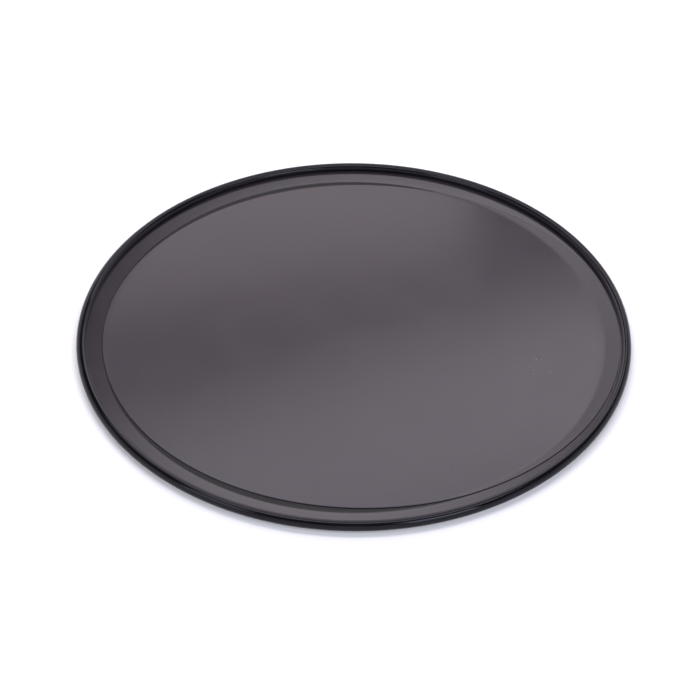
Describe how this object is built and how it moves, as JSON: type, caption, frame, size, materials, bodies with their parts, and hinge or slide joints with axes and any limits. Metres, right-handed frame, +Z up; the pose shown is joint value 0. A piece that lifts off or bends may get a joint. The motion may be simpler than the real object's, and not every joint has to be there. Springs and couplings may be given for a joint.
{
  "type": "serving tray",
  "caption": "Round shallow black serving tray with a rolled, wire-stiffened rim, a gently dished flank and a satin-lined flat floor, for carrying drinks and food.",
  "frame": {"origin": "centre of the tray's underside, in the plane that rests on the table", "axes": "+Z up, along the shell's axis of revolution; +X along the oval lining's long way, towards the side it is bonded nearer to; +Y across it, level"},
  "size_m": [0.356, 0.356, 0.0082],
  "materials": {
    "shell_coat": "deep gloss black coat on the rolled edge, semi-gloss on the flank, with fine concentric tooling lines",
    "wire_steel": "drawn bright wire, hidden inside the rolled edge",
    "film_adhesive": "thin adhesive film, hidden under the lining",
    "lining_satin": "satin charcoal lining with a very fine grain and a few light scuffs"
  },
  "bodies": {
    "root": {"tray_shell": "shell_coat", "rim_wire": "wire_steel", "lining_film": "film_adhesive", "floor_lining": "lining_satin"}
  },
  "joints": []
}
